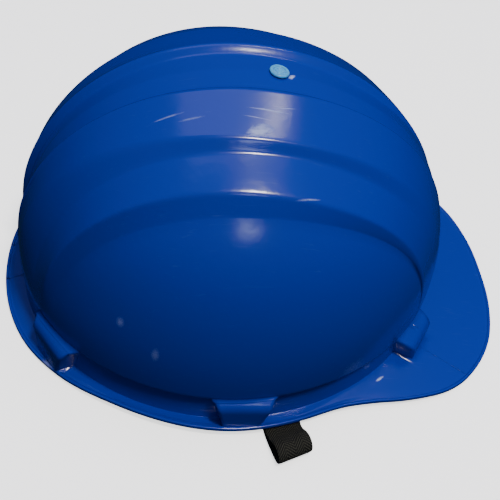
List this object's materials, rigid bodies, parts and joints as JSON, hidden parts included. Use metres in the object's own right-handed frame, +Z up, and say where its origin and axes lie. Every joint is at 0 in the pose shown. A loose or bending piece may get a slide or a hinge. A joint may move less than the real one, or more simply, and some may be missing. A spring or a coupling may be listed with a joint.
{
  "type": "hard hat",
  "caption": "Blue industrial hard hat: ridged peaked shell on a webbing cradle, with a padded headband, a nape ratchet knob and a black chin strap.",
  "frame": {"origin": "middle of the head opening in the plane that the brim stands on, straight below the dome's centre, on the plane of symmetry of the shell", "axes": "+X towards the wearer's front, where the peak is; +Y towards the wearer's left; +Z up through the crown"},
  "size_m": [0.2865, 0.2469, 0.146],
  "materials": {
    "shell_blue": "glossy moulded polyethylene, lightly scuffed",
    "plug_blue": "glossy",
    "cradle_white": "satin moulded",
    "crown_webbing": "woven polyester tape",
    "padding": "brushed knit over foam",
    "band_black": "satin moulded",
    "steel": "zinc plated",
    "chin_webbing": "ribbed woven webbing"
  },
  "bodies": {
    "hat": {"shell": "shell_blue", "crown_plug": "plug_blue", "hanger_tab_front_left": "cradle_white", "hanger_tab_front_right": "cradle_white", "hanger_tab_side_left": "cradle_white", "hanger_tab_side_right": "cradle_white", "hanger_tab_rear_left": "cradle_white", "hanger_tab_rear_right": "cradle_white", "crown_strap_side": "crown_webbing", "crown_strap_diagonal_left": "crown_webbing", "crown_strap_diagonal_right": "crown_webbing", "crown_pad": "padding", "headband": "band_black", "sweatband": "padding", "ratchet_housing": "band_black", "nape_plate": "band_black", "nape_pad": "padding", "ratchet_detent_ring": "steel", "chin_hook_right": "band_black", "chin_hook_left": "band_black", "chin_strap": "chin_webbing"},
    "knob": {"ratchet_knob": "band_black", "ratchet_pinion": "cradle_white", "knob_screw": "steel"},
    "arm_right": {"nape_arm_right": "band_black"},
    "arm_left": {"nape_arm_left": "band_black"},
    "slider": {"chin_slider": "band_black"}
  },
  "joints": [
    {"name": "knob_turn", "type": "hinge", "parent": "hat", "child": "knob", "pos_m": [-0.09, 0, 0.018], "axis": [-1, 0, 0], "range_deg": [-180, 180]},
    {"name": "arm_right_travel", "type": "hinge", "parent": "hat", "child": "arm_right", "pos_m": [-0.018, 0, 0.018], "axis": [0, 0, 1], "range_deg": [-13.4, 13.4]},
    {"name": "arm_left_travel", "type": "hinge", "parent": "hat", "child": "arm_left", "pos_m": [-0.018, 0, 0.018], "axis": [0, 0, 1], "range_deg": [-13, 13]},
    {"name": "slider_travel", "type": "slide", "parent": "hat", "child": "slider", "axis": [0, 1, 0], "range_m": [-0.055, 0.01]}
  ],
  "couplings": [
    {"joint": "arm_right_travel", "follows": "knob_turn", "ratio": -0.073584},
    {"joint": "arm_left_travel", "follows": "knob_turn", "ratio": 0.071582}
  ]
}
